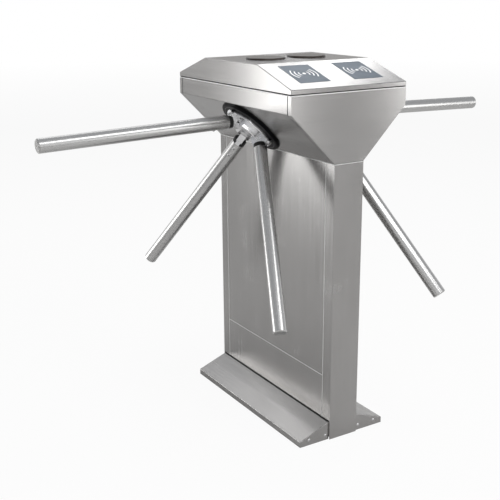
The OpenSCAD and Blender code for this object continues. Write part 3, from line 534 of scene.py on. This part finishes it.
def makeCollarBead(side):
    bm = bmesh.new()
    bead = collarBead
    made = bmesh.ops.create_circle(bm, cap_ends=False, radius=bead["width"] / 2, segments=bead["roundSteps"])
    ring = made["verts"]
    bmesh.ops.rotate(bm, verts=ring, cent=(0, 0, 0), matrix=Matrix.Rotation(math.pi / 2, 3, "X"))
    bmesh.ops.translate(bm, verts=ring, vec=(bead["radius"], 0, bead["height"]))
    bmesh.ops.spin(bm, geom=bm.verts[:] + bm.edges[:], cent=(0, 0, 0), axis=(0, 0, 1), angle=2 * math.pi,
                   steps=bead["steps"], use_merge=True)
    bmesh.ops.recalc_face_normals(bm, faces=bm.faces)
    bmesh.ops.transform(bm, matrix=rotorFrame(side), verts=bm.verts)
    name = "collarBead." + side
    finishObject(name, meshFrom(bm, name), bodyOf["rotor_collars"], beadBlack)


for side in sides:
    makeCollarBead(side)
print("screw sockets and collar beads set")


# Key slot in the face of the lid lock, on the back plate, drawn as a thin black block: painted shade for the
# opening
keySlot = {"width": 1.6 * mm, "height": 8 * mm, "depth": 0.5 * mm, "proud": 0.1 * mm, "rounding": 0.04 * mm}


def setKeySlot():
    low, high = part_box("lock_barrel")
    middleX = (low[0] + high[0]) / 2
    middleZ = (low[2] + high[2]) / 2
    halfWidth = keySlot["width"] / 2
    halfHeight = keySlot["height"] / 2
    bm = bmesh.new()
    addBlock(
        bm,
        (middleX - halfWidth, high[1] - keySlot["depth"], middleZ - halfHeight),
        (middleX + halfWidth, high[1] + keySlot["proud"], middleZ + halfHeight),
    )
    bevel(bm, bm.edges[:], keySlot["rounding"], 1)
    # black block: painted shade in place of the slot's opening
    black = plastic("keySlotBlack", (0.012, 0.012, 0.012), 0.5)
    finishObject("keySlot", meshFrom(bm, "keySlot"), bodyOf["lock_barrel"], black)


setKeySlot()
print("key slot set")


# The other CAD nodes keep their shape and take their finish here
for node, thing in frame["nodes"].items():
    if node not in redrawn:
        for holder in thing.material_slots:
            holder.material = finishes[slotOf[node]]
print("nodes finished")


# Reader marks: a dot with three arcs on each side, printed on each window
readerMark = {
    "lift": 0.2 * mm,
    "dotRadius": 5 * mm,
    "arcs": [15 * mm, 26 * mm, 37 * mm],
    "arcWidth": 3.4 * mm,
    "halfAngle": 38,
    "steps": 16,
    "dotSteps": 24,
    "merge": 0.01 * mm,     # corners closer than this become one
    "gap": 0.02 * mm,       # between the print and the window
    "ink": (0.85, 0.86, 0.87),
}


def ringPart(bm, radius, width, start, end, steps):
    # flat arc of a ring round the origin, from one angle to another
    inner = bm.verts.new((radius - width / 2, 0, 0))
    outer = bm.verts.new((radius + width / 2, 0, 0))
    edge = bm.edges.new((inner, outer))
    turn = Matrix.Rotation(math.radians(start), 3, "Z")
    bmesh.ops.rotate(bm, verts=[inner, outer], cent=(0, 0, 0), matrix=turn)
    bmesh.ops.spin(bm, geom=[inner, outer, edge], cent=(0, 0, 0), axis=(0, 0, 1),
                   angle=math.radians(end - start), steps=steps)


def windowFace(x):
    # middle and direction of the outer face of the reader window on that side
    mesh = frame["nodes"]["reader_windows"].data
    found = [face for face in mesh.polygons if face.normal.z > 0.8 and face.center.x * x > 0]
    corners = [mesh.vertices[i].co for face in found for i in face.vertices]
    low = Vector([min(corner[axis] for corner in corners) for axis in range(3)])
    high = Vector([max(corner[axis] for corner in corners) for axis in range(3)])
    return (low + high) / 2, found[0].normal.copy()


def printMark(side, x, ink):
    mark = readerMark
    middle, normal = windowFace(x)
    bm = bmesh.new()
    for facing in (0, 180):
        for radius in mark["arcs"]:
            start, end = facing - mark["halfAngle"], facing + mark["halfAngle"]
            ringPart(bm, radius, mark["arcWidth"], start, end, mark["steps"])
    bmesh.ops.create_circle(bm, cap_ends=True, radius=mark["dotRadius"], segments=mark["dotSteps"])
    bmesh.ops.remove_doubles(bm, verts=bm.verts, dist=mark["merge"])
    for face in bm.faces:
        if face.normal.z < 0:
            face.normal_flip()
    raised = bmesh.ops.extrude_face_region(bm, geom=bm.faces[:])
    lifted = [part for part in raised["geom"] if isinstance(part, bmesh.types.BMVert)]
    bmesh.ops.translate(bm, verts=lifted, vec=(0, 0, mark["lift"]))
    bmesh.ops.recalc_face_normals(bm, faces=bm.faces)
    tilt = Vector((0, 0, 1)).rotation_difference(normal).to_matrix().to_4x4()
    place = Matrix.Translation(middle + normal * mark["gap"]) @ tilt
    bmesh.ops.transform(bm, matrix=place, verts=bm.verts)
    name = "readerMark." + side
    finishObject(name, meshFrom(bm, name), "lid", ink)


readerInk = plastic("readerInk", readerMark["ink"], 0.4, dusty=0.0)
for side, x in sides.items():
    printMark(side, x, readerInk)
print("reader marks printed")


# Strips in the seams: pale ones on the column, painted highlights for bright edges, and black ones along the
# toe covers and at the head's corners, painted shadow for shaded corners and gaps
seamStrips = {
    "sunk": 0.02 * mm,      # how far a strip reaches into the sheet that it lies on
    "seam": {"width": 1.9 * mm, "proud": 0.25 * mm, "rounding": 0.1 * mm},
    "toe": {"height": 2.2 * mm, "depth": 2.4 * mm, "rounding": 0.4 * mm},
    "neck": {"depth": 1.2 * mm, "gap": 0.1 * mm, "rounding": 0.2 * mm},
    "corner": {"width": 3.0 * mm, "proud": 0.12 * mm, "rounding": 0.05 * mm},
    "rim": {"height": 2.2 * mm, "proud": 0.2 * mm, "rounding": 0.04 * mm},
    "bandReach": 0.01 * mm,     # corners this near the outside belong to the head's upright band
}
sunk = seamStrips["sunk"]
# pale trim for the strips that are painted highlights
paleTrim = turned("paleTrim", (0.88, 0.88, 0.87), 0.45, 0.3)
# the seal's black rubber, used here also for the strips that are painted shadow
sealRubber = finishes["seal_rubber"]


def stripObject(name, blocks, material, rounding):
    # blocks for the left side and the same turned to the right side
    bm = bmesh.new()
    for turn in (0, math.pi):
        before = set(bm.verts)
        for low, high in blocks:
            addBlock(bm, low, high)
        fresh = [vert for vert in bm.verts if vert not in before]
        bmesh.ops.rotate(bm, verts=fresh, cent=(0, 0, 0), matrix=Matrix.Rotation(turn, 3, "Z"))
    bevel(bm, bm.edges[:], rounding, 2)
    finishObject(name, meshFrom(bm, name), "cabinet", material)


def makeSeamHighlightStrips():
    # pale strips in the seams between the side panels and the column's covers, a painted highlight for the
    # seams' bright edges
    seam = seamStrips["seam"]
    lower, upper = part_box("lower_panel_left"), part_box("upper_panel_left")
    sheetX, sheetY = lower[0][0], lower[1][1]
    seamZ = (lower[1][2] + upper[0][2]) / 2
    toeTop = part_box("toe_cover_left")[1][2]
    half = seam["width"] / 2
    near, far = sheetX - seam["proud"], sheetX + sunk
    blocks = [((near, -sheetY, seamZ - half), (far, sheetY, seamZ + half))]
    for y in (-sheetY, sheetY):
        blocks.append(((near, y - half, toeTop), (far, y + half, upper[1][2])))
    stripObject("seamStrips", blocks, paleTrim, seam["rounding"])


def makeToeShadowStrips():
    # dark strip in the corner between the column and each toe cover, a painted shadow for the shade in that
    # corner
    toe = seamStrips["toe"]
    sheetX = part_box("lower_panel_left")[0][0]
    low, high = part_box("toe_cover_left")
    top = high[2]
    start = (sheetX - toe["depth"], low[1], top - sunk)
    end = (sheetX + sunk, high[1], top + toe["height"])
    stripObject("toeStrips", [(start, end)], sealRubber, toe["rounding"])


def makeNeckHighlightStrip():
    # pale strip round the column, just under the head, a painted highlight for the bright edge there
    neck = seamStrips["neck"]
    proud, deep = seamStrips["seam"]["proud"], neck["depth"]
    coverLow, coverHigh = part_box("column_front_cover")
    low = coverHigh[2] + neck["gap"]
    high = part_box("head_side_left")[0][2] - neck["gap"]
    x, y = coverHigh[0] + proud, -coverLow[1] + proud
    blocks = [((-x, -y, low), (-x + deep, y, high)), ((-x, -y, low), (x, -y + deep, high))]
    stripObject("neckStrip", blocks, paleTrim, neck["rounding"])


def makeCornerShadowStrips():
    # dark lines beside the front and back plates' returns, on the head's upright bands, a painted shadow for
    # the seam gaps there
    corner = seamStrips["corner"]
    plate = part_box("head_front_plate")
    low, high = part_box("head_side_left")
    sheet = frame["nodes"]["head_side_left"].data
    outside = low[0] + seamStrips["bandReach"]
    bandLow = min(vert.co.z for vert in sheet.vertices if vert.co.x < outside)
    half = corner["width"] / 2
    near, far = low[0] - corner["proud"], low[0] + sunk
    seamY = abs((low[1] + plate[1][1]) / 2)
    blocks = [((near, y - half, bandLow), (far, y + half, high[2])) for y in (-seamY, seamY)]
    stripObject("cornerStrips", blocks, sealRubber, corner["rounding"])


def makeRimHighlightStrips():
    # pale strip on the head's sheets, just under the lid's seal, a painted highlight for their bright top
    # edge
    rim = seamStrips["rim"]
    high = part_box("head_side_right")[1]
    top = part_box("head_side_left")[1][2]
    bottom = top - rim["height"]
    x = high[0] + rim["proud"]
    y = -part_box("head_front_plate")[0][1] + rim["proud"]
    deep = rim["proud"] + sunk
    blocks = [((-x, -y, bottom), (-x + deep, y, top)), ((-x, -y, bottom), (x, -y + deep, top))]
    stripObject("rimStrips", blocks, paleTrim, rim["rounding"])


makeSeamHighlightStrips()
makeToeShadowStrips()
makeNeckHighlightStrip()
makeCornerShadowStrips()
makeRimHighlightStrips()
print("seam strips laid")


# Studio: pale floor that runs out into a white surround, soft lamps, greyer overhead
studio = {
    "floorRadius": 14.0,
    "floorColour": (0.80, 0.795, 0.79),
    "fadeFrom": 6.0,
    "fadeTo": 13.0,
    "floorGlow": 0.93,      # share of the floor's white that the camera sees without light
    "floorGlint": 0.03,     # the same for reflections
    "surround": 0.36,       # strength of the surround as a light
    "overhead": (0.50, 0.51, 0.53),
    "overheadFrom": 0.08,   # height of a view ray where the surround starts to turn grey
    "overheadTo": 0.42,
    "aim": (0, 0, 0.85),
    "card": {"place": (2.1, 3.15, 1.3), "width": 2.6, "height": 1.3, "tone": (0.42, 0.4116, 0.4032, 1)},
    "lamps": [
        {"name": "keyLamp", "place": (-1.2, -3.4, 3.4), "size": (2.0, 1.4), "watts": 42},
        {"name": "upLamp", "place": (1.1, -3.0, 3.8), "size": (1.6, 1.4), "watts": 26},
        {"name": "topLamp", "place": (0.2, -0.6, 4.3), "size": (2.0, 2.0), "watts": 66,
         "aim": (0.1, -0.6, 0), "mirrored": False},
        {"name": "sideLamp", "place": (-3.14, 3.12, 0.6), "size": (1.7, 1.2), "watts": 25},
        {"name": "lidLamp", "place": (0.7, 2.9, 3.25), "size": (1.4, 1.2), "watts": 7.5,
         "aim": (-0.18, -0.2, 1.0)},
        {"name": "frontLampLeft", "place": (1.9, -4.0, 1.2), "size": (0.7, 2.2), "watts": 11},
        {"name": "frontLampRight", "place": (3.2, -3.25, 1.2), "size": (0.7, 2.2), "watts": 14},
        {"name": "backLamp", "place": (2.43, 2.77, 3.52), "size": (1.3, 1.2), "watts": 19},
        {"name": "farLamp", "place": (-0.75, 3.25, 3.45), "size": (1.9, 2.1), "watts": 11},
    ],
}


def seesBackground(shader):
    # 1 where the camera, a reflection or a view through glass looks at the material
    rays = ("Camera", "Glossy", "Transmission")
    return [shader.node("ShaderNodeLightPath", {}, {}, f"Is {ray} Ray") for ray in rays]


def stageMesh(name, bm, material):
    mesh = bpy.data.meshes.new(name)
    bm.to_mesh(mesh)
    bm.free()
    mesh.materials.append(material)
    thing = bpy.data.objects.new(name, mesh)
    scene.collection.objects.link(thing)
    return thing


def makeFloor():
    s = Shader("floorPale")
    distance = s.node("ShaderNodeVectorMath", {"operation": "LENGTH"}, {0: s.place}, 1)
    fade = s.spread(distance, studio["fadeFrom"], studio["fadeTo"])
    camera, glossy, through = seesBackground(s)
    near = camera * studio["floorGlow"] + glossy * studio["floorGlint"]
    glow = near + (camera.maths("MAXIMUM", glossy).maths("MAXIMUM", through) - near) * fade
    matte = s.node("ShaderNodeBsdfDiffuse", {}, {"Color": s.colour(studio["floorColour"])})
    white = s.node("ShaderNodeEmission", {}, {"Color": (1, 1, 1, 1), "Strength": 1.0})
    mixed = s.node("ShaderNodeMixShader", {}, {0: glow, 1: matte, 2: white})
    s.node("ShaderNodeOutputMaterial", {}, {"Surface": mixed})
    bm = bmesh.new()
    bmesh.ops.create_circle(bm, cap_ends=True, radius=studio["floorRadius"], segments=64)
    stageMesh("floor", bm, s.material)


def makeSurround():
    # white all round for the camera and for reflections, greyer high up, and dimmer as a light
    world = bpy.data.worlds.new("surround")
    scene.world = world
    world.use_nodes = True
    s = Shader("surround", world.node_tree)
    direction = s.node("ShaderNodeTexCoord", {}, {}, "Generated")
    height = s.node("ShaderNodeSeparateXYZ", {}, {0: direction}, 2)
    share = s.spread(height, studio["overheadFrom"], studio["overheadTo"])
    camera, glossy, through = seesBackground(s)
    seen = camera.maths("MAXIMUM", glossy).maths("MAXIMUM", through)
    strength = seen * (1 - studio["surround"]) + studio["surround"]
    colour = s.mix(share, (1, 1, 1), studio["overhead"])
    background = s.node("ShaderNodeBackground", {}, {"Color": colour, "Strength": strength})
    s.node("ShaderNodeOutputWorld", {}, {"Surface": background})


def makeLamps():
    for lamp in studio["lamps"]:
        data = bpy.data.lights.new(lamp["name"], "AREA")
        data.shape = "RECTANGLE"
        data.size, data.size_y = lamp["size"]
        data.energy = lamp["watts"]
        thing = bpy.data.objects.new(lamp["name"], data)
        away = Vector(lamp.get("aim", studio["aim"])) - Vector(lamp["place"])
        turn = away.to_track_quat("-Z", "Y").to_matrix().to_4x4()
        thing.matrix_world = Matrix.Translation(lamp["place"]) @ turn
        thing.visible_camera = False
        thing.visible_glossy = lamp.get("mirrored", True)
        scene.collection.objects.link(thing)


def makeCard():
    # grey card out of the picture, behind the object, that the lid's flat top mirrors
    card = studio["card"]
    s = Shader("greyCard")
    grey = s.node("ShaderNodeEmission", {}, {"Color": card["tone"]})
    s.node("ShaderNodeOutputMaterial", {}, {"Surface": grey})
    bm = bmesh.new()
    bmesh.ops.create_grid(bm, x_segments=1, y_segments=1, size=0.5)
    bmesh.ops.scale(bm, vec=(card["width"], card["height"], 1), verts=bm.verts)
    place = Vector(card["place"])
    turn = Vector((-place.x, -place.y, 0)).to_track_quat("Z", "Y").to_matrix().to_4x4()
    bmesh.ops.transform(bm, matrix=Matrix.Translation(place) @ turn, verts=bm.verts)
    thing = stageMesh("greyCard", bm, s.material)
    for ray in ("camera", "diffuse", "shadow", "transmission"):
        setattr(thing, "visible_" + ray, False)


makeFloor()
makeSurround()
makeLamps()
makeCard()
print("studio lit")
